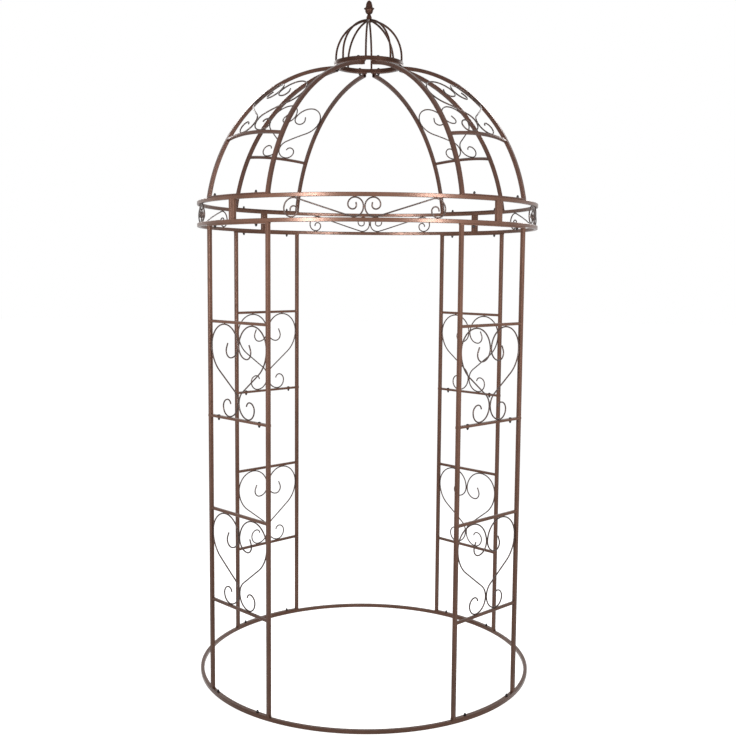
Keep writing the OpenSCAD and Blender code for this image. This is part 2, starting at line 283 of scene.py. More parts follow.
class OrangePeel(ShaderGroup):
    """The fine dimpled skin of baked powder, over slow waves from the tube's own wall."""

    name = "orange peel"

    def build(self) -> None:
        """Adds a fine and a slow noise and gives their sum as a height."""
        self.take("Vector", "Vector")
        self.take("Dimples per metre", "Float", 620.0)
        self.take("Waves per metre", "Float", 45.0)
        self.take("Waves", "Float", 0.5)
        self.give("Height", "Float")
        fine = self.noise(2.0, 0.45)
        slow = self.noise(1.0)
        join = self.node("Math", operation="MULTIPLY_ADD")
        given = self.entry.outputs
        self.wire(
            (given["Vector"], fine.inputs["Vector"]),
            (given["Vector"], slow.inputs["Vector"]),
            (given["Dimples per metre"], fine.inputs["Scale"]),
            (given["Waves per metre"], slow.inputs["Scale"]),
            (slow.outputs["Fac"], join.inputs[0]),
            (given["Waves"], join.inputs[1]),
            (fine.outputs["Fac"], join.inputs[2]),
            (join.outputs[0], self.exit.inputs["Height"]),
        )


class BronzeMottle(ShaderGroup):
    """The uneven tone of a bronze coat: broad clouds and a sparse fleck of finer grains."""

    name = "bronze mottle"

    def build(self) -> None:
        """Mixes the shade, the coat and the fleck by two noises."""
        self.take("Vector", "Vector")
        self.take("Coat", "Color", (0.2, 0.1, 0.07, 1.0))
        self.take("Shade", "Color", (0.12, 0.06, 0.04, 1.0))
        self.take("Fleck", "Color", (0.35, 0.2, 0.15, 1.0))
        self.take("Clouds per metre", "Float", 9.0)
        self.take("Flecks per metre", "Float", 900.0)
        self.take("Fleck share", "Float", 0.12)
        self.give("Color", "Color")
        self.give("Clouds", "Float")
        clouds = self.noise(5.0, 0.62)
        spread = self.spread(0.30, 0.66)
        grains = self.noise(1.0)
        sparse = self.spread(0.60, 0.74)
        amount = self.node("Math", operation="MULTIPLY")
        tone = self.node("Mix", data_type="RGBA")
        fleck = self.node("Mix", data_type="RGBA")
        given = self.entry.outputs
        self.wire(
            (given["Vector"], clouds.inputs["Vector"]),
            (given["Vector"], grains.inputs["Vector"]),
            (given["Clouds per metre"], clouds.inputs["Scale"]),
            (given["Flecks per metre"], grains.inputs["Scale"]),
            (clouds.outputs["Fac"], spread.inputs["Value"]),
            (grains.outputs["Fac"], sparse.inputs["Value"]),
            (sparse.outputs["Result"], amount.inputs[0]),
            (given["Fleck share"], amount.inputs[1]),
            (spread.outputs["Result"], tone.inputs["Factor"]),
            (given["Shade"], tone.inputs["A"]),
            (given["Coat"], tone.inputs["B"]),
            (amount.outputs[0], fleck.inputs["Factor"]),
            (tone.outputs["Result"], fleck.inputs["A"]),
            (given["Fleck"], fleck.inputs["B"]),
            (fleck.outputs["Result"], self.exit.inputs["Color"]),
            (spread.outputs["Result"], self.exit.inputs["Clouds"]),
        )


class PaintedEdgeHighlight(ShaderGroup):
    """A painted highlight along the corners of tubes, where a rounded corner catches the light, broken up by
    a noise.
    """

    name = "rubbed edge"

    def build(self) -> None:
        """Compares the face with its rounded-off normal and gives the edge as the mask of the painted
        highlight.
        """
        self.take("Vector", "Vector")
        self.take("Width", "Float", 0.0012)
        self.take("Patches per metre", "Float", 60.0)
        self.give("Mask", "Float")
        round_off = self.node("Bevel", samples=4)
        face = self.node("NewGeometry")
        along = self.node("VectorMath", operation="DOT_PRODUCT")
        edge = self.spread(0.995, 0.90)
        patches = self.noise(3.0)
        keep = self.spread(0.42, 0.62)
        mask = self.node("Math", operation="MULTIPLY")
        given = self.entry.outputs
        self.wire(
            (given["Width"], round_off.inputs["Radius"]),
            (round_off.outputs["Normal"], along.inputs[0]),
            (face.outputs["Normal"], along.inputs[1]),
            (along.outputs["Value"], edge.inputs["Value"]),
            (given["Vector"], patches.inputs["Vector"]),
            (given["Patches per metre"], patches.inputs["Scale"]),
            (patches.outputs["Fac"], keep.inputs["Value"]),
            (edge.outputs["Result"], mask.inputs[0]),
            (keep.outputs["Result"], mask.inputs[1]),
            (mask.outputs[0], self.exit.inputs["Mask"]),
        )


@dataclass(frozen=True)
class PowderCoat:
    """A baked powder coat over steel, with a painted highlight along its corners.

    Attributes:
        name: The material's name.
        coat: The coat's main colour.
        shade: Its darker clouds.
        fleck: Its brighter metallic grains.
        highlit: The painted highlight colour along the corners.
        metallic: How much of the grain is metal.
        roughness: The smoothest the coat gets.
        unevenness: How much rougher its clouds are.
        dimple: How deep the orange peel is, in metres.
        specular: How strongly the coat between the grains mirrors.
        highlight_share: How much of the painted highlight colour shows along the corners.
    """

    name: str
    coat: tuple[float, float, float]
    shade: tuple[float, float, float]
    fleck: tuple[float, float, float]
    highlit: tuple[float, float, float]
    metallic: float = 0.30
    roughness: float = 0.27
    unevenness: float = 0.08
    dimple: float = 0.00006
    specular: float = 0.22
    highlight_share: float = 0.25

    def material(self, groups: FinishGroups) -> bpy.types.Material:
        """Builds the material.

        Args:
            groups: The shader groups it draws on.

        Returns:
            The new material.
        """
        made = bpy.data.materials.new(self.name)
        made.use_nodes = True
        tree = made.node_tree
        shader = tree.nodes["Principled BSDF"]
        shader.inputs["Metallic"].default_value = self.metallic
        shader.inputs["Specular IOR Level"].default_value = self.specular
        where = tree.nodes.new("ShaderNodeTexCoord")
        mottle = groups.place(tree, groups.mottle)
        peel = groups.place(tree, groups.peel)
        highlit = groups.place(tree, groups.highlit)
        mottle.inputs["Coat"].default_value = (*self.coat, 1.0)
        mottle.inputs["Shade"].default_value = (*self.shade, 1.0)
        mottle.inputs["Fleck"].default_value = (*self.fleck, 1.0)
        # The corners are mixed towards the painted highlight colour by the edge mask.
        mix = tree.nodes.new("ShaderNodeMix")
        mix.data_type = "RGBA"
        mix.inputs["B"].default_value = (*self.highlit, 1.0)
        highlight_share = tree.nodes.new("ShaderNodeMath")
        highlight_share.operation = "MULTIPLY"
        highlight_share.inputs[1].default_value = self.highlight_share
        rough = tree.nodes.new("ShaderNodeMapRange")
        rough.inputs["To Min"].default_value = self.roughness + self.unevenness
        rough.inputs["To Max"].default_value = self.roughness
        bump = tree.nodes.new("ShaderNodeBump")
        bump.inputs["Distance"].default_value = self.dimple
        bump.inputs["Strength"].default_value = 1.0
        for group in (mottle, peel, highlit):
            tree.links.new(where.outputs["Object"], group.inputs["Vector"])
        for source, target in (
            (highlit.outputs["Mask"], highlight_share.inputs[0]),
            (highlight_share.outputs[0], mix.inputs["Factor"]),
            (mottle.outputs["Color"], mix.inputs["A"]),
            (mix.outputs["Result"], shader.inputs["Base Color"]),
            (mottle.outputs["Clouds"], rough.inputs["Value"]),
            (rough.outputs["Result"], shader.inputs["Roughness"]),
            (peel.outputs["Height"], bump.inputs["Height"]),
            (bump.outputs["Normal"], shader.inputs["Normal"]),
        ):
            tree.links.new(source, target)
        return made


class FinishGroups:
    """The shader groups, each built once."""

    def __init__(self) -> None:
        """Builds the three groups."""
        self.peel = OrangePeel()
        self.mottle = BronzeMottle()
        # The mask of the painted highlight along corners.
        self.highlit = PaintedEdgeHighlight()

    @staticmethod
    def place(tree: bpy.types.NodeTree, group: ShaderGroup) -> bpy.types.Node:
        """Returns a new node in the tree that uses the group."""
        node = tree.nodes.new("ShaderNodeGroup")
        node.node_tree = group.tree
        return node


# Each coat's highlit colour is its painted highlight along the corners.
BRONZE_TUBE = PowderCoat(
    name="bronze_tube_coat",
    coat=(0.116, 0.057, 0.038),
    shade=(0.080, 0.038, 0.024),
    fleck=(0.30, 0.19, 0.155),
    highlit=(0.21, 0.13, 0.10),
)
# A darker copy of the tube's coat for the dome's ribs: painted shade, where less light reaches them.
SHADED_RIB_COAT = PowderCoat(
    name="dome_rib_shaded_coat",
    coat=(0.090, 0.043, 0.030),
    shade=(0.062, 0.029, 0.020),
    fleck=(0.24, 0.15, 0.12),
    highlit=(0.17, 0.10, 0.08),
)
# A darker, greyer copy of the tube's coat for the scroll rods: painted shade, as the thin rods catch no
# highlight and look darker than the tubes.
SHADED_SCROLL_COAT = PowderCoat(
    name="scroll_rod_shaded_coat",
    coat=(0.070, 0.047, 0.040),
    shade=(0.045, 0.030, 0.025),
    fleck=(0.20, 0.145, 0.125),
    highlit=(0.14, 0.095, 0.08),
    metallic=0.40,
    roughness=0.32,
)
# A much darker copy of the tube's coat for the crown ring, its rods and the finial: painted shade, as they
# sit in shade under the lamps.
SHADED_CROWN_COAT = PowderCoat(
    name="crown_shaded_coat",
    coat=(0.052, 0.024, 0.016),
    shade=(0.033, 0.015, 0.010),
    fleck=(0.15, 0.085, 0.065),
    highlit=(0.11, 0.06, 0.045),
    roughness=0.38,
    specular=0.08,
)
BOLT_COAT = PowderCoat(
    name="bolt_black_zinc",
    coat=(0.020, 0.017, 0.016),
    shade=(0.011, 0.009, 0.0085),
    fleck=(0.09, 0.075, 0.07),
    highlit=(0.17, 0.15, 0.14),
    metallic=0.45,
    roughness=0.34,
)


class FinishSet:
    """The finishes as materials, ready to put on pieces."""

    def __init__(self) -> None:
        """Builds the five materials from the shared groups."""
        groups = FinishGroups()
        self.tube = BRONZE_TUBE.material(groups)
        # The rib, scroll and crown coats are darker copies of the tube's coat: painted shade.
        self.rib = SHADED_RIB_COAT.material(groups)
        self.scroll = SHADED_SCROLL_COAT.material(groups)
        self.crown = SHADED_CROWN_COAT.material(groups)
        self.bolt = BOLT_COAT.material(groups)

    def for_node(self, node: str) -> bpy.types.Material:
        """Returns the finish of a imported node.

        Args:
            node: The node's name.

        Returns:
            The material it wears.
        """
        # The scrolls, the crown and the dome's ribs get darker copies of the tube's coat, which are painted
        # shade.
        if "heart" in node or "scroll" in node:
            return self.scroll
        if "bolts" in node:
            return self.bolt
        if node in ("crown_ring", "crown_rods", "finial"):
            return self.crown
        if node.startswith("dome_ladder"):
            return self.rib
        return self.tube


# ---- making meshes ----


class Workpiece:
    """A mesh being made, which becomes one piece of the pavilion."""

    def __init__(self, name: str) -> None:
        """Starts an empty piece of that name."""
        self.name = name
        self.bm = bmesh.new()

    def sweep(
        self,
        places: Sequence[Vector],
        ups: Sequence[Vector],
        radius: float,
        sides: int = 12,
        girth: Callable[[int], float] | None = None,
        closed: bool = False,
    ) -> None:
        """Draws a round section along a path and closes its ends with a small round-over.

        Args:
            places: The points of the middle line.
            ups: A direction at each point that the section keeps facing.
            radius: The section's radius.
            sides: How many sides the section has.
            girth: A factor on the radius at each point, or None for an even rod.
            closed: Whether the path returns to its start.
        """
        count = len(places)
        frames = []
        for i, place in enumerate(places):
            before = places[i - 1] if closed or i else place
            after = places[(i + 1) % count] if closed or i < count - 1 else place
            along = (after - before).normalized()
            side = along.cross(ups[i]).normalized()
            up = side.cross(along)
            size = radius * (girth(i) if girth else 1.0)
            frames.append((place, side, up, along, size))
        first = self.matrix(*frames[0])
        ring = bmesh.ops.create_circle(self.bm, cap_ends=False, segments=sides, radius=1.0, matrix=first)
        loop = list({e for v in ring["verts"] for e in v.link_edges})
        opening = list(loop)
        last = first
        for frame in frames[1:]:
            loop, last = self.step(loop, last, self.matrix(*frame))
        if closed:
            bmesh.ops.bridge_loops(self.bm, edges=loop + opening)
            return
        for edges, (place, side, up, along, size), way in (
            (loop, frames[-1], 1.0),
            (opening, frames[0], -1.0),
        ):
            at = self.matrix(place, side, up, along, size)
            for out, share in ROD_END:
                target = self.matrix(place + along * (way * out * size), side, up, along, size * share)
                edges, at = self.step(edges, at, target)
            bmesh.ops.edgeloop_fill(self.bm, edges=edges)

    @staticmethod
    def matrix(place: Vector, side: Vector, up: Vector, along: Vector, size: float) -> Matrix:
        """Returns the matrix of a section: its axes as columns, scaled by its radius."""
        return Matrix(
            (
                (side.x * size, up.x * size, along.x * size, place.x),
                (side.y * size, up.y * size, along.y * size, place.y),
                (side.z * size, up.z * size, along.z * size, place.z),
                (0.0, 0.0, 0.0, 1.0),
            )
        )

    def step(
        self, edges: Iterable[bmesh.types.BMEdge], here: Matrix, there: Matrix
    ) -> tuple[list[bmesh.types.BMEdge], Matrix]:
        """Extrudes a loop of edges from one section's place to the next.

        Args:
            edges: The open loop.
            here: The matrix of the section it lies on.
            there: The matrix of the section it goes to.

        Returns:
            The new open loop and the matrix it lies on.
        """
        new = bmesh.ops.extrude_edge_only(self.bm, edges=list(edges))["geom"]
        verts = [g for g in new if isinstance(g, bmesh.types.BMVert)]
        bmesh.ops.transform(self.bm, matrix=there @ here.inverted(), verts=verts)
        return [g for g in new if isinstance(g, bmesh.types.BMEdge)], there

    def lathe(self, outline: Sequence[tuple[float, float]], place: Matrix, steps: int = 24) -> None:
        """Spins an outline about its axis.

        Args:
            outline: Radius and height of each point, from the bottom of the axis to its top.
            place: Where the axis stands.
            steps: How many steps a full turn takes.
        """
        verts = [self.bm.verts.new((r, 0.0, z)) for r, z in outline]
        edges = [self.bm.edges.new(pair) for pair in zip(verts, verts[1:])]
        bmesh.ops.spin(
            self.bm,
            geom=verts + edges,
            cent=(0.0, 0.0, 0.0),
            axis=(0.0, 0.0, 1.0),
            angle=math.tau,
            steps=steps,
            use_merge=True,
        )
        bmesh.ops.remove_doubles(self.bm, verts=self.island(verts), dist=MERGE)
        whole = self.island([v for v in verts if v.is_valid])
        bmesh.ops.transform(self.bm, matrix=place, verts=whole)

    def island(self, seeds: Sequence[bmesh.types.BMVert]) -> list[bmesh.types.BMVert]:
        """Returns every vertex joined to the seeds by edges."""
        seen = set(seeds)
        queue = list(seeds)
        while queue:
            for edge in queue.pop().link_edges:
                for vert in edge.verts:
                    if vert not in seen:
                        seen.add(vert)
                        queue.append(vert)
        return list(seen)

    def hexagon(self, across: float, low: float, high: float, chamfer: float, place: Matrix) -> None:
        """Adds a six-sided nut body whose corners are turned off at both ends.

        Args:
            across: Its width across the corners.
            low: The height of its lower face.
            high: The height of its upper face.
            chamfer: How much is turned off the corners.
            place: Where its axis stands.
        """
        made = bmesh.ops.create_cone(
            self.bm,
            cap_ends=True,
            cap_tris=False,
            segments=6,
            radius1=across / 2,
            radius2=across / 2,
            depth=high - low,
            matrix=place @ Matrix.Translation((0.0, 0.0, (low + high) / 2)),
        )
        edges = list({e for v in made["verts"] for e in v.link_edges})
        bmesh.ops.bevel(
            self.bm,
            geom=edges,
            offset=chamfer,
            offset_type="OFFSET",
            segments=2,
            profile=0.5,
            affect="EDGES",
            material=-1,
        )

    def blob(self, place: Matrix, size: tuple[float, float, float], seed: float) -> None:
        """Adds a spot of weld metal, a slightly uneven ball.

        Args:
            place: Its middle and direction.
            size: Its half widths.
            seed: What makes its unevenness its own.
        """
        made = bmesh.ops.create_icosphere(
            self.bm, subdivisions=2, radius=1.0, matrix=place @ Matrix.Diagonal((*size, 1.0))
        )
        middle = place.translation
        for vert in made["verts"]:
            out = vert.co - middle
            lump = LUMP_DEPTH * noise.noise(out * LUMP_PACE + Vector((seed, 0.0, 0.0)))
            vert.co = middle + out * (1.0 + lump)

    def finish(self, material: bpy.types.Material, slot: Slot) -> bpy.types.Object:
        """Closes the mesh and makes it a piece that rides on the pavilion.

        Args:
            material: The finish it wears.
            slot: The record's slot for it; not used.

        Returns:
            The piece.
        """
        bmesh.ops.recalc_face_normals(self.bm, faces=self.bm.faces)
        mesh = bpy.data.meshes.new(self.name)
        self.bm.to_mesh(mesh)
        self.bm.free()
        mesh.materials.append(material)
        mesh.shade_smooth()
        mesh.set_sharp_from_angle(angle=math.radians(SHARP_ANGLE))
        piece = bpy.data.objects.new(self.name, mesh)
        bpy.context.scene.collection.objects.link(piece)
        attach(piece, "root")
        LOG.info("%s: %d faces", self.name, len(mesh.polygons))
        return piece


@dataclass(frozen=True)
class Bend:
    """One bend of a rod in its own plane: a radius and a turn, left being positive."""

    radius: float
    turn: float


@dataclass(frozen=True)
class Run:
    """A straight length of a rod."""

    length: float


def bent_line(
    steps: Iterable[Bend | Run], start: tuple[float, float], heading: float, fineness: float = 7.0
) -> list[tuple[float, float]]:
    """Follows a rod's bends in its own plane.

    Args:
        steps: The bends and straight runs, in order.
        start: Where the rod starts.
        heading: Its direction there, in degrees.
        fineness: The largest turn between two points.

    Returns:
        The points of its middle line.
    """
    x, y = start
    points = [start]
    for step in steps:
        if isinstance(step, Run):
            count = max(1, round(step.length / RUN_STEP))
            points += [
                (x + step.length * k / count * cos(heading), y + step.length * k / count * sin(heading))
                for k in range(1, count + 1)
            ]
        else:
            way = math.copysign(1.0, step.turn)
            mid = (x - way * step.radius * sin(heading), y + way * step.radius * cos(heading))
            count = max(3, math.ceil(abs(step.turn) / fineness))
            points += [
                (
                    mid[0] + way * step.radius * sin(heading + step.turn * k / count),
                    mid[1] - way * step.radius * cos(heading + step.turn * k / count),
                )
                for k in range(1, count + 1)
            ]
            heading += step.turn
        x, y = points[-1]
    return points


def mirrored(points: Iterable[Vector], side: float) -> list[Vector]:
    """Returns the points, with X turned over where side is negative."""
    return [Vector((p.x * side, p.y, p.z)) for p in points]


def ripple(depth: float, pace: float) -> Callable[[int], float]:
    """Returns the factor on a weld bead's radius at each of its steps."""
    return lambda step: 1.0 + depth * math.sin(step * pace)


# ---- the rolled scrolls ----


def rod_pair(
    name: str,
    laid: Sequence[tuple[Vector, Vector]],
    rod: float,
    turn: float,
    material: bpy.types.Material,
    node: str,
    sides: int = 12,
) -> bpy.types.Object:
    """Sweeps a scroll and its mirror image and turns them to their place.

    Args:
        name: The piece's name.
        laid: Where each point of the scroll lies in the front, and its outward direction.
        rod: The rod's diameter.
        turn: The turn from the front.
        material: The finish.
        node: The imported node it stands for.
        sides: How many sides the rod has.

    Returns:
        The piece.
    """
    work = Workpiece(name)
    for side in (1.0, -1.0):
        places, outs = (mirrored((q[k] for q in laid), side) for k in (0, 1))
        work.sweep(places, outs, rod / 2, sides)
    bmesh.ops.transform(work.bm, matrix=at_turn(turn), verts=work.bm.verts)
    piece = work.finish(material, Slot.SCROLL_ROD)
    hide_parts(node)
    return piece


@dataclass
class BandScroll:
    """The pair of long scrolls that fills one quarter of the band.

    Attributes:
        sizes: The pavilion's shared sizes.
        spread: From the scroll's low bend to its outer spiral, for a scroll 72 mm tall.
    """

    TALL: ClassVar[float] = 0.072

    sizes: PavilionSizes
    spread: float = 0.236
    floor: float = field(init=False)
    scale: float = field(init=False)

    def __post_init__(self) -> None:
        """Works out the height that the scroll fills."""
        self.floor = self.sizes.band_low + self.sizes.tube
        gap = self.sizes.band_top - self.sizes.tube - self.floor
        self.scale = (gap - self.sizes.rod) / self.TALL

    def flat_line(self) -> list[tuple[float, float]]:
        """Returns the middle line along the arc and up from the lower rail."""
        k = self.scale
        low, top = 0.036 * k, 0.040 * k
        rise = self.TALL * k - low - top
        across = self.spread * k
        run = math.sqrt(across**2 + rise**2 - (low + top) ** 2)
        lift = math.degrees(math.atan2(low + top, run) + math.atan2(rise, across))
        start = (self.sizes.rod / 2 + TOUCH, self.sizes.rod / 2 + low)
        inner = [
            Run(0.004 * k),
            Bend(0.032 * k, -90),
            Bend(0.026 * k, -90),
            Bend(0.018 * k, -90),
            Bend(0.014 * k, -100),
            Run(0.008 * k),
        ]
        outer = [
            Bend(low, 90 + lift),
            Run(run),
            Bend(top, -lift - 90),
            Bend(0.032 * k, -90),
            Bend(0.025 * k, -90),
            Bend(0.016 * k, -90),
            Bend(0.014 * k, -100),
        ]
        back = bent_line(inner, start, 90.0)
        return back[:0:-1] + bent_line(outer, start, -90.0)

    def laid(self, point: tuple[float, float]) -> tuple[Vector, Vector]:
        """Returns where a point of the flat line lies on the band, and its outward direction."""
        turn = math.degrees(point[0] / self.sizes.ring_radius)
        out = Vector((sin(turn), -cos(turn), 0.0))
        return out * self.sizes.ring_radius + Vector((0.0, 0.0, self.floor + point[1])), out

    def build(self, quarter: Quarter, material: bpy.types.Material) -> bpy.types.Object:
        """Sweeps both scrolls of one quarter.

        Args:
            quarter: Which quarter of the band.
            material: The finish.

        Returns:
            The piece.
        """
        laid = [self.laid(p) for p in self.flat_line()]
        name = f"band_scroll_rods_{quarter.title}"
        node = f"band_scroll_{quarter.title}"
        return rod_pair(name, laid, self.sizes.rod, quarter.value, material, node)


@dataclass
class HeartPattern:
    """The bends of one half of a heart, flat, from the middle line and its bottom bar.

    Attributes:
        sizes: The pavilion's shared sizes.
        waist: The height of the waist as a share of the heart's height.
        shoulder: The share of the side bend in the way from shoulder to waist.
    """

    sizes: PavilionSizes
    waist: float = 0.17
    shoulder: float = 0.83
    height: float = field(init=False)
    inner: float = field(init=False)
    outer: float = field(init=False)
    lobe: float = field(init=False)
    curl: float = field(init=False)

    def __post_init__(self) -> None:
        """Works out the heart's reach from the walls' sizes."""
        s = self.sizes
        self.height = s.bar_pitch - s.bar - s.rod
        self.inner = s.rod / 2 + TOUCH
        self.outer = s.gap_x - s.rod / 2
        self.lobe = (self.outer - self.inner) / 2
        self.curl = self.waist * self.height * 0.94

    def line(self) -> list[tuple[float, float]]:
        """Returns the middle line of one half, from the lobe's inner end to the bottom curl's."""
        side_high = self.height - self.lobe - self.curl
        side = self.shoulder * side_high - self.curl
        across = self.curl + self.inner - (self.outer - side)
        far = math.hypot(across, side_high)
        run = math.sqrt(far**2 - (side + self.curl) ** 2)
        turn = math.degrees(math.atan2(side + self.curl, run) - math.asin(across / far))
        top = (self.inner + self.lobe, self.height)
        inward = [
            Bend(self.lobe, 84),
            Bend(self.lobe * 0.56, 96),
            Bend(self.lobe * 0.32, 114),
            Run(self.lobe * 0.22),
        ]
        outward = [
            Bend(self.lobe, -90),
            Bend(side, -turn),
            Run(run),
            Bend(self.curl, turn + 90),
            Bend(self.curl * 0.66, 90),
            Bend(self.curl * 0.5, 90),
            Bend(self.curl * 0.34, 80),
        ]
        return bent_line(inward, top, 180.0)[:0:-1] + bent_line(outward, top, 0.0)


class Tier(Enum):
    """The two tiers of hearts in a wall."""

    LOWER = "lower"
    UPPER = "upper"

    def floor(self, sizes: PavilionSizes) -> float:
        """Returns the height that the tier's hearts stand on."""
        return sizes.first_bar + sizes.bar / 2 if self is Tier.LOWER else sizes.joint + sizes.strip


@dataclass
class WallHeart:
    """A heart between the two posts of a ladder wall.

    Attributes:
        sizes: The pavilion's shared sizes.
        pattern: The flat heart.
    """

    sizes: PavilionSizes
    pattern: HeartPattern

    def build(self, tier: Tier, ladder: Ladder, material: bpy.types.Material) -> bpy.types.Object:
        """Sweeps both halves of one wall heart.

        Args:
            tier: Whether it is the lower or the upper heart.
            ladder: Which wall it stands in.
            material: The finish.

        Returns:
            The piece.
        """
        s = self.sizes
        foot = tier.floor(s) + s.rod / 2
        out = Vector((0.0, -1.0, 0.0))
        laid = [(Vector((x, s.wall_y, foot + z)), out) for x, z in self.pattern.line()]
        name = f"{tier.value}_heart_rods_{ladder.title}"
        node = f"{tier.value}_heart_{ladder.title}"
        return rod_pair(name, laid, s.rod, ladder.value, material, node, sides=16)


@dataclass
class DomeHeart:
    """A heart laid on the bowed field between two ribs of the dome.

    Attributes:
        sizes: The pavilion's shared sizes.
        pattern: The flat heart.
        squat: Its height against a wall's heart.
        bar_slope: The ribs' slope at the crossbar, below their slope at the foot.
    """

    sizes: PavilionSizes
    pattern: HeartPattern
    squat: float = 0.78
    bar_slope: float = 20.0
    in_x: float = field(init=False)
    in_y: float = field(init=False)
    run: float = field(init=False)
    bend: float = field(init=False)
    middle: float = field(init=False)
    middle_z: float = field(init=False)
    slope: float = field(init=False)
    bar_half: float = field(init=False)

    def __post_init__(self) -> None:
        """Works out the ribs' bend."""
        s = self.sizes
        end_turn = 45.0 - s.rib_gap / 2
        self.in_x = s.post_x - s.crown_radius * sin(end_turn)
        self.in_y = -s.crown_radius * cos(end_turn) - s.wall_y
        self.run = math.hypot(self.in_x, self.in_y)
        self.bend = self.run / (sin(s.foot_slope) - sin(s.end_slope))
        self.middle = self.bend * sin(s.foot_slope)
        self.middle_z = s.dome_foot - self.bend * cos(s.foot_slope)
        self.slope = s.foot_slope - self.bar_slope
        self.bar_half = self.rib_half(self.slope)

    def rib_half(self, slope: float) -> float:
        """Returns half the distance between the ribs where they have that slope."""
        return self.sizes.post_x - self.in_x * (self.middle - self.bend * sin(slope)) / self.run

    def laid(self, point: tuple[float, float]) -> tuple[Vector, Vector]:
        """Lays a point of the flat heart on the dome.

        Args:
            point: The point across and up the flat heart.

        Returns:
            Where it lies and the surface's outward direction.
        """
        s = self.sizes
        up = point[1] * self.squat + s.bar / 2 + s.rod / 2
        slope = self.slope - math.degrees(up / self.bend)
        run = self.middle - self.bend * sin(slope)
        half = self.rib_half(slope)
        wall = s.tube / 2 / cos(math.degrees(math.atan2(self.in_x, self.in_y)))
        room = half - wall - s.rod / 2 - TOUCH
        inner = self.pattern.inner
        x = inner + (point[0] - inner) * (room - inner) / (self.pattern.outer - inner)
        lift = s.bow * (half / self.bar_half) ** 2 * (1.0 - (x / half) ** 2)
        out = Vector((0.0, -sin(slope), cos(slope)))
        base = Vector((x, s.wall_y + self.in_y * run / self.run, self.middle_z + self.bend * cos(slope)))
        return base + out * lift, out

    def build(self, ladder: Ladder, material: bpy.types.Material) -> bpy.types.Object:
        """Sweeps both halves of one dome heart.

        Args:
            ladder: Which of the four.
            material: The finish.

        Returns:
            The piece.
        """
        laid = [self.laid(p) for p in self.pattern.line()]
        name = f"dome_heart_rods_{ladder.title}"
        node = f"dome_heart_{ladder.title}"
        return rod_pair(name, laid, self.sizes.rod, ladder.value, material, node)


# ---- fixings ----


@dataclass
class BoltRow:
    """A set of bolts of one kind, at the same height on all four ladders.

    Attributes:
        node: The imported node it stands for.
        radius: How far from the axis the bolts sit, or None on the ladders' flat strips.
        turn: Their angle from a ladder's middle.
        nut_at: The height of the face the cap nut sits on, and whether it points up.
        head_at: The height of the face the domed head sits on, or None without one.
    """

    node: str
    radius: float | None
    turn: float
    nut_at: tuple[float, bool]
    head_at: float | None = None

    NUT_ACROSS: ClassVar[float] = 0.0115
    NUT_TURN: ClassVar[float] = 37.0
    CAP: ClassVar[tuple[tuple[float, float], ...]] = (
        (0.0, 0.0048),
        (0.0047, 0.0048),
        (0.0047, 0.0058),
        (0.0044, 0.0069),
        (0.0037, 0.0084),
        (0.0026, 0.0098),
        (0.0014, 0.0107),
        (0.0, 0.0110),
    )
    WASHER: ClassVar[tuple[tuple[float, float], ...]] = (
        (0.0, 0.0),
        (0.0060, 0.0),
        (0.0064, 0.0003),
        (0.0064, 0.0009),
        (0.0060, 0.0012),
        (0.0, 0.0012),
    )
    HEAD: ClassVar[tuple[tuple[float, float], ...]] = (
        (0.0, 0.0),
        (0.0063, 0.0),
        (0.0065, 0.0003),
        (0.0065, 0.0010),
        (0.0060, 0.0020),
        (0.0049, 0.0031),
        (0.0033, 0.0039),
        (0.0016, 0.0043),
        (0.0, 0.0044),
    )

    def spots(self, sizes: PavilionSizes) -> list[Matrix]:
        """Returns a matrix at each bolt's axis, at ground height."""
        found = []
        for ladder in Ladder:
            for side in (-1.0, 1.0):
                if self.radius is None:
                    across = sizes.ring_radius * sin(self.turn) * side
                    move = Matrix.Translation((across, sizes.wall_y, 0.0))
                    found.append(at_turn(ladder.value) @ move)
                else:
                    move = Matrix.Translation((0.0, -self.radius, 0.0))
                    found.append(at_turn(ladder.value + side * self.turn) @ move)
        return found

    def build(self, sizes: PavilionSizes, material: bpy.types.Material) -> bpy.types.Object:
        """Models every bolt of the row: washers, cap nuts and domed heads.

        Args:
            sizes: The pavilion's shared sizes.
            material: The finish.

        Returns:
            The piece.
        """
        work = Workpiece(self.node + "_detailed")
        height, up = self.nut_at
        over = Matrix.Identity(4) if up else Matrix.Rotation(math.pi, 4, "X")
        for number, spot in enumerate(self.spots(sizes)):
            spun = Matrix.Rotation(math.radians(number * self.NUT_TURN), 4, "Z")
            nut = spot @ Matrix.Translation((0.0, 0.0, height)) @ over @ spun
            work.lathe(self.WASHER, nut, steps=28)
            work.hexagon(self.NUT_ACROSS, 0.0012, 0.0052, 0.0004, nut)
            work.lathe(self.CAP, nut, steps=24)
            if self.head_at is not None:
                work.lathe(self.HEAD, spot @ Matrix.Translation((0.0, 0.0, self.head_at)), steps=28)
        piece = work.finish(material, Slot.FIXINGS)
        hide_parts(self.node)
        return piece


def bolt_rows(sizes: PavilionSizes) -> list[BoltRow]:
    """Returns the pavilion's five rows of bolts."""
    ring, turn, strip = sizes.ring_radius, sizes.bolt_turn, sizes.strip
    return [
        BoltRow("base_bolts", ring, turn, (sizes.tube + strip, True)),
        BoltRow("joint_bolts", None, turn, (sizes.joint - strip, False), sizes.joint + strip),
        BoltRow("band_bolts", ring, turn, (sizes.band_low - strip, False)),
        BoltRow("dome_bolts", ring, turn, (sizes.dome_foot, True)),
        BoltRow(
            "crown_bolts",
            sizes.crown_radius,
            sizes.crown_bolt_turn,
            (sizes.crown_low - strip, False),
            sizes.crown_high,
        ),
    ]


# ---- weld beads ----


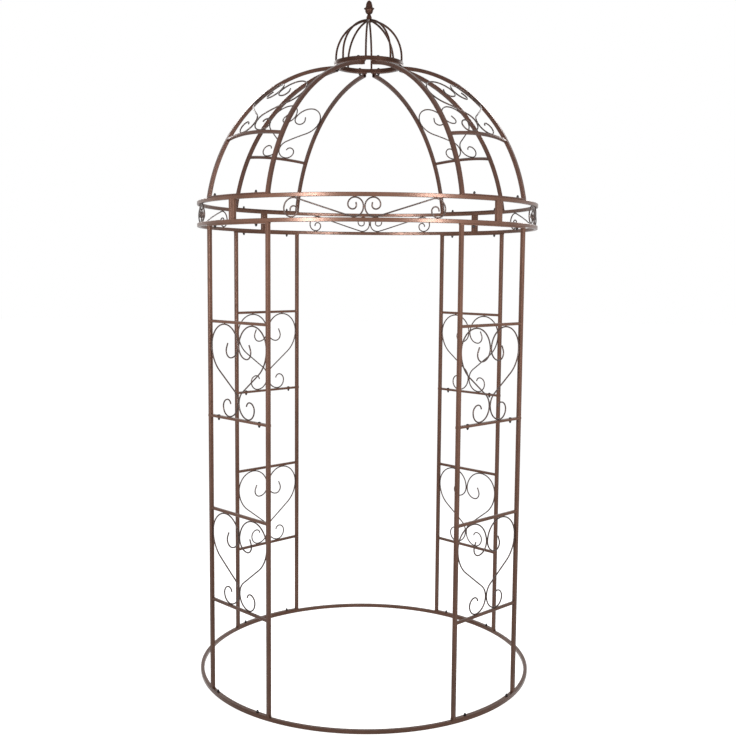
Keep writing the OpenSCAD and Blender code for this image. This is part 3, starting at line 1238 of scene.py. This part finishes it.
@dataclass
class WeldBeads:
    """The welds that hold bars, scrolls and rods, under the same coat as the tube, and at the crown under the
    crown's darker coat.

    Attributes:
        sizes: The pavilion's shared sizes.
        heart: The flat heart, for where the wall scrolls touch.
        dome: The dome heart, for where the dome scrolls touch.
        band: The band scroll, for where it touches the rails.
        bead: The radius of a running bead.
    """

    sizes: PavilionSizes
    heart: HeartPattern
    dome: DomeHeart
    band: BandScroll
    bead: float = 0.0013

    def run(self, work: Workpiece, start: Vector, end: Vector, up: Vector) -> None:
        """Lays a straight bead with its ripples.

        Args:
            work: The mesh it goes to.
            start: Where it starts.
            end: Where it ends.
            up: The direction it stands out in.
        """
        count = max(6, round((end - start).length / 0.0006))
        places = [start.lerp(end, i / count) for i in range(count + 1)]
        work.sweep(places, [up] * len(places), self.bead, 8, ripple(0.14, 1.9))

    def loop(self, work: Workpiece, middle: Vector, across: Vector, up: Vector, half: float) -> None:
        """Lays a bead round the end of a square bar.

        Args:
            work: The mesh it goes to.
            middle: The middle of the bar's end.
            across: One side's direction.
            up: The other side's direction.
            half: Half the bar's side.
        """
        places = []
        ease = half * 0.35
        for turn in range(4):
            corner = across * (1 if turn in (0, 3) else -1) + up * (1 if turn in (0, 1) else -1)
            hub = middle + (across * across.dot(corner) + up * up.dot(corner)) * (half - ease)
            for k in range(4):
                angle = turn * 90.0 + k * 30.0
                places.append(hub + (across * cos(angle) + up * sin(angle)) * ease)
        full = []
        for a, b in zip(places, places[1:] + places[:1]):
            steps = max(1, round((b - a).length / 0.0012))
            full += [a.lerp(b, k / steps) for k in range(steps)]
        normal = across.cross(up)
        work.sweep(full, [normal] * len(full), self.bead * 0.85, 6, ripple(0.16, 1.7), closed=True)

    def spot(self, work: Workpiece, place: Vector, along: Vector, out: Vector, long: float = 0.0052) -> None:
        """Sets a spot of weld where a rod touches something.

        Args:
            work: The mesh it goes to.
            place: The middle of the touch.
            along: The rod's direction there.
            out: The direction across both.
            long: Half its length.
        """
        third = along.cross(out).normalized()
        turn = Matrix((along.normalized(), out.normalized(), third)).transposed().to_4x4()
        matrix = Matrix.Translation(place) @ turn
        work.blob(matrix, (long, 0.0022, 0.0018), place.x * 31.0 + place.z * 17.0)

    def heart_touches(self) -> list[tuple[tuple[float, float], tuple[float, float]]]:
        """Returns where a half heart touches its neighbours, and the direction of the rod there."""
        h = self.heart
        rod = self.sizes.rod / 2
        return [
            ((h.inner + h.lobe, h.height + rod), (1.0, 0.0)),
            ((h.outer + rod, h.height - h.lobe), (0.0, 1.0)),
            ((h.inner + h.curl, -rod), (1.0, 0.0)),
        ]

    def wall(self, work: Workpiece) -> None:
        """Adds the welds of one wall, in the front's own frame."""
        s, h = self.sizes, self.heart
        back, up = Vector((0, 1, 0)), Vector((0, 0, 1))
        for level in (s.first_bar, s.first_bar + s.bar_pitch, s.first_bar + 3 * s.bar_pitch):
            for side in (-1.0, 1.0):
                self.loop(work, Vector((side * s.gap_x, s.wall_y, level)), back, up, s.bar / 2)
        for level in (s.tube + s.strip, s.joint - s.strip, s.joint + s.strip, s.band_low - s.strip):
            for side in (-1.0, 1.0):
                x = side * s.gap_x
                reach = s.tube / 2 - 0.0015
                start, end = Vector((x, s.wall_y - reach, level)), Vector((x, s.wall_y + reach, level))
                self.run(work, start, end, up)
        rod = s.rod / 2
        for floor in (tier.floor(s) for tier in Tier):
            for side in (-1.0, 1.0):
                for (x, z), (dx, dz) in self.heart_touches():
                    place = Vector((side * x, s.wall_y, floor + rod + z))
                    self.spot(work, place, Vector((dx, 0, dz)), back)
            for z in (h.height - h.lobe, h.curl):
                self.spot(work, Vector((0, s.wall_y, floor + rod + z)), up, back)

    def dome_field(self, work: Workpiece) -> None:
        """Adds the welds of one field of the dome, in the front's own frame."""
        h = self.heart
        for point, (dx, dz) in self.heart_touches():
            for side in (-1.0, 1.0):
                here, out = self.dome.laid(point)
                there, _ = self.dome.laid((point[0] + dx * 0.002, point[1] + dz * 0.002))
                self.spot(work, *mirrored((here, there - here), side), out)
        for z in (h.height - h.lobe, h.curl):
            here, out = self.dome.laid((0.0, z))
            there, _ = self.dome.laid((0.0, z + 0.002))
            self.spot(work, here, there - here, out)

    def band_field(self, work: Workpiece) -> None:
        """Adds the welds of one quarter of the band, in the front's own frame."""
        line = self.band.flat_line()
        low = min(line, key=lambda p: p[1])
        inner = max((p for p in line if p[0] < 0.12), key=lambda p: p[1])
        outer = max((p for p in line if p[0] > 0.12), key=lambda p: p[1])
        rod = self.sizes.rod / 2
        touches = [((low[0], low[1] - rod), True)]
        touches += [((p[0], p[1] + rod), True) for p in (inner, outer)]
        for (x, z), flat in touches:
            for side in (-1.0, 1.0):
                here, out = self.band.laid((x * side, z))
                there, _ = self.band.laid((x * side + 0.002, z) if flat else (x * side, z + 0.002))
                self.spot(work, here, there - here, out)
        here, out = self.band.laid((0.0, 0.040 * self.band.scale))
        self.spot(work, here, Vector((0, 0, 1)), out)

    def crown_feet(self, work: Workpiece) -> None:
        """Adds the ring of weld at the foot of each crown rod."""
        s = self.sizes
        steps = 30
        ups = [Vector((0, 0, 1))] * steps
        for number in range(s.crown_rods):
            angle = s.crown_turn + number * 360.0 / s.crown_rods
            foot = Vector((s.crown_radius * sin(angle), -s.crown_radius * cos(angle), s.crown_high))
            places = [
                foot + Vector((cos(k * 360 / steps), sin(k * 360 / steps), 0.0)) * (s.crown_rod / 2)
                for k in range(steps)
            ]
            work.sweep(places, ups, self.bead * 1.1, 8, ripple(0.15, 2.1), closed=True)

    def build(self, tube: bpy.types.Material, crown: bpy.types.Material) -> list[bpy.types.Object]:
        """Builds the welds of every wall, dome field, band quarter and of the crown.

        Args:
            tube: The tube's finish.
            crown: The crown's coat, darkened with painted shade.

        Returns:
            The pieces.
        """
        made = []
        for ladder in Ladder:
            work = Workpiece(f"welds_{ladder.title}")
            self.wall(work)
            self.dome_field(work)
            bmesh.ops.transform(work.bm, matrix=at_turn(ladder.value), verts=work.bm.verts)
            made.append(work.finish(tube, Slot.FRAME_TUBE))
        for quarter in Quarter:
            work = Workpiece(f"band_welds_{quarter.title}")
            self.band_field(work)
            bmesh.ops.transform(work.bm, matrix=at_turn(quarter.value), verts=work.bm.verts)
            made.append(work.finish(tube, Slot.FRAME_TUBE))
        work = Workpiece("crown_welds")
        self.crown_feet(work)
        made.append(work.finish(crown, Slot.FRAME_TUBE))
        return made


# ---- studio ----


@dataclass
class SoftBox:
    """A soft lamp of the studio.

    Attributes:
        name: The lamp's name.
        place: Where it stands.
        aim: What it points at.
        size: Its width and height.
        power: Its power in watts.
        spread: The angle its light opens to.
    """

    name: str
    place: tuple[float, float, float]
    aim: tuple[float, float, float]
    size: tuple[float, float]
    power: float
    spread: float = 72.0

    def build(self) -> bpy.types.Object:
        """Returns the lamp, placed and aimed."""
        lamp = bpy.data.lights.new(self.name, "AREA")
        lamp.shape = "RECTANGLE"
        lamp.size, lamp.size_y = self.size
        lamp.energy = self.power
        lamp.spread = math.radians(self.spread)
        holder = bpy.data.objects.new(self.name, lamp)
        bpy.context.scene.collection.objects.link(holder)
        place = Vector(self.place)
        holder.rotation_euler = (Vector(self.aim) - place).to_track_quat("-Z", "Y").to_euler()
        holder.location = place
        holder.visible_camera = False
        return holder


@dataclass
class Studio:
    """The pale floor, the white surround, the lamps and the camera.

    Attributes:
        ambient: The surround's strength as light.
        floor_glow: How bright the floor is to the camera before the lamps reach it.
        lens: The camera's focal length in millimetres on a 36 mm wide sensor.
        eye: Where the camera stands.
        heading: Its turn to the left of +Y.
        pitch: Its angle below the horizon.
        roll: Its turn about its own line of sight.
    """

    ambient: float = 0.20
    floor_glow: float = 0.86
    lens: float = 48.93
    eye: tuple[float, float, float] = (0.0772, -4.5560, 1.8352)
    heading: float = 0.874
    pitch: float = 5.660
    roll: float = 0.460
    lamps: tuple[SoftBox, ...] = (
        SoftBox("left_soft_box", (-1.9, -3.1, 1.9), (0.0, 0.0, 1.8), (0.7, 1.1), 28.0),
        SoftBox("right_soft_box", (2.3, -3.0, 1.9), (0.0, 0.0, 1.8), (0.7, 1.1), 28.0),
        SoftBox("back_left_soft_box", (-2.0, 2.9, 3.9), (0.0, 0.0, 1.5), (1.2, 1.4), 16.0, 100.0),
        SoftBox("back_right_soft_box", (2.0, 2.9, 3.9), (0.0, 0.0, 1.5), (1.2, 1.4), 16.0, 100.0),
        SoftBox("top_soft_box", (0.0, -0.6, 5.6), (0.0, 0.0, 1.5), (3.2, 3.2), 2.0),
    )

    @staticmethod
    def seen_directly(tree: bpy.types.NodeTree) -> bpy.types.NodeSocket:
        """Returns a socket that is 1 for camera, mirror and glass rays and 0 for light."""
        path = tree.nodes.new("ShaderNodeLightPath")
        first = tree.nodes.new("ShaderNodeMath")
        first.operation = "MAXIMUM"
        second = tree.nodes.new("ShaderNodeMath")
        second.operation = "MAXIMUM"
        tree.links.new(path.outputs["Is Camera Ray"], first.inputs[0])
        tree.links.new(path.outputs["Is Glossy Ray"], first.inputs[1])
        tree.links.new(first.outputs[0], second.inputs[0])
        tree.links.new(path.outputs["Is Transmission Ray"], second.inputs[1])
        return second.outputs[0]

    def surround(self) -> None:
        """Sets a white surround that lights the pavilion evenly."""
        world = bpy.data.worlds.new("white_surround")
        world.use_nodes = True
        tree = world.node_tree
        background = tree.nodes["Background"]
        background.inputs["Color"].default_value = (1.0, 1.0, 1.0, 1.0)
        strength = tree.nodes.new("ShaderNodeMapRange")
        strength.inputs["To Min"].default_value = self.ambient
        strength.inputs["To Max"].default_value = 1.0
        tree.links.new(self.seen_directly(tree), strength.inputs["Value"])
        tree.links.new(strength.outputs["Result"], background.inputs["Strength"])
        bpy.context.scene.world = world

    def floor(self) -> bpy.types.Object:
        """Returns the pale floor, which keeps the pavilion's shadow."""
        made = bpy.data.materials.new("pale_floor")
        made.use_nodes = True
        tree = made.node_tree
        tree.nodes.remove(tree.nodes["Principled BSDF"])
        paint = tree.nodes.new("ShaderNodeBsdfDiffuse")
        paint.inputs["Color"].default_value = (0.78, 0.78, 0.78, 1.0)
        glow = tree.nodes.new("ShaderNodeEmission")
        scale = tree.nodes.new("ShaderNodeMath")
        scale.operation = "MULTIPLY"
        scale.inputs[1].default_value = self.floor_glow
        join = tree.nodes.new("ShaderNodeAddShader")
        tree.links.new(self.seen_directly(tree), scale.inputs[0])
        tree.links.new(scale.outputs[0], glow.inputs["Strength"])
        tree.links.new(paint.outputs[0], join.inputs[0])
        tree.links.new(glow.outputs[0], join.inputs[1])
        tree.links.new(join.outputs[0], tree.nodes["Material Output"].inputs["Surface"])
        bm = bmesh.new()
        bmesh.ops.create_grid(bm, x_segments=1, y_segments=1, size=30.0)
        mesh = bpy.data.meshes.new("floor")
        bm.to_mesh(mesh)
        bm.free()
        mesh.materials.append(made)
        sheet = bpy.data.objects.new("floor", mesh)
        bpy.context.scene.collection.objects.link(sheet)
        return sheet

    def camera(self) -> bpy.types.Object:
        """Returns the scene's camera at its place."""
        data = bpy.data.cameras.new("view_camera")
        data.lens = self.lens
        data.sensor_width = 36.0
        data.clip_end = 120.0
        holder = bpy.data.objects.new("view_camera", data)
        bpy.context.scene.collection.objects.link(holder)
        holder.matrix_world = (
            Matrix.Translation(self.eye)
            @ Matrix.Rotation(math.radians(self.heading), 4, "Z")
            @ Matrix.Rotation(math.radians(90.0 - self.pitch), 4, "X")
            @ Matrix.Rotation(math.radians(self.roll), 4, "Z")
        )
        bpy.context.scene.camera = holder
        return holder

    def build(self) -> None:
        """Sets up the whole studio."""
        bpy.context.scene.view_settings.view_transform = "Standard"
        self.camera()
        self.surround()
        self.floor()
        for lamp in self.lamps:
            lamp.build()


# ---- the pavilion ----


class Pavilion:
    """The whole pavilion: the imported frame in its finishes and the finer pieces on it."""

    def __init__(self, nodes: dict[str, bpy.types.Object]) -> None:
        """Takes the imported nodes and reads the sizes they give.

        Args:
            nodes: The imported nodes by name.
        """
        self.nodes = nodes
        self.sizes = PavilionSizes.from_frame()
        self.finishes = FinishSet()
        self.heart = HeartPattern(self.sizes)
        self.walls = WallHeart(self.sizes, self.heart)
        self.band = BandScroll(self.sizes)
        self.dome = DomeHeart(self.sizes, self.heart)

    def dress_frame(self) -> None:
        """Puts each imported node's finish on it."""
        for name, node in self.nodes.items():
            node.data.materials.clear()
            node.data.materials.append(self.finishes.for_node(name))
            LOG.info("%s wears %s", name, node.data.materials[0].name)

    def build(self) -> None:
        """Dresses the frame and adds the scrolls, the bolts and the welds."""
        self.dress_frame()
        for quarter in Quarter:
            self.band.build(quarter, self.finishes.scroll)
        for ladder in Ladder:
            for tier in Tier:
                self.walls.build(tier, ladder, self.finishes.scroll)
            self.dome.build(ladder, self.finishes.scroll)
        for row in bolt_rows(self.sizes):
            row.build(self.sizes, self.finishes.bolt)
        WeldBeads(self.sizes, self.heart, self.dome, self.band).build(self.finishes.tube, self.finishes.crown)


def clear_scene() -> None:
    """Removes what the program starts with."""
    for thing in list(bpy.data.objects):
        bpy.data.objects.remove(thing)


def main() -> None:
    """Builds the studio and the pavilion."""
    logging.basicConfig(level=logging.INFO, format="%(name)s: %(message)s")
    clear_scene()
    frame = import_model()
    Studio().build()
    Pavilion(frame["nodes"]).build()


if __name__ == "__main__":
    main()
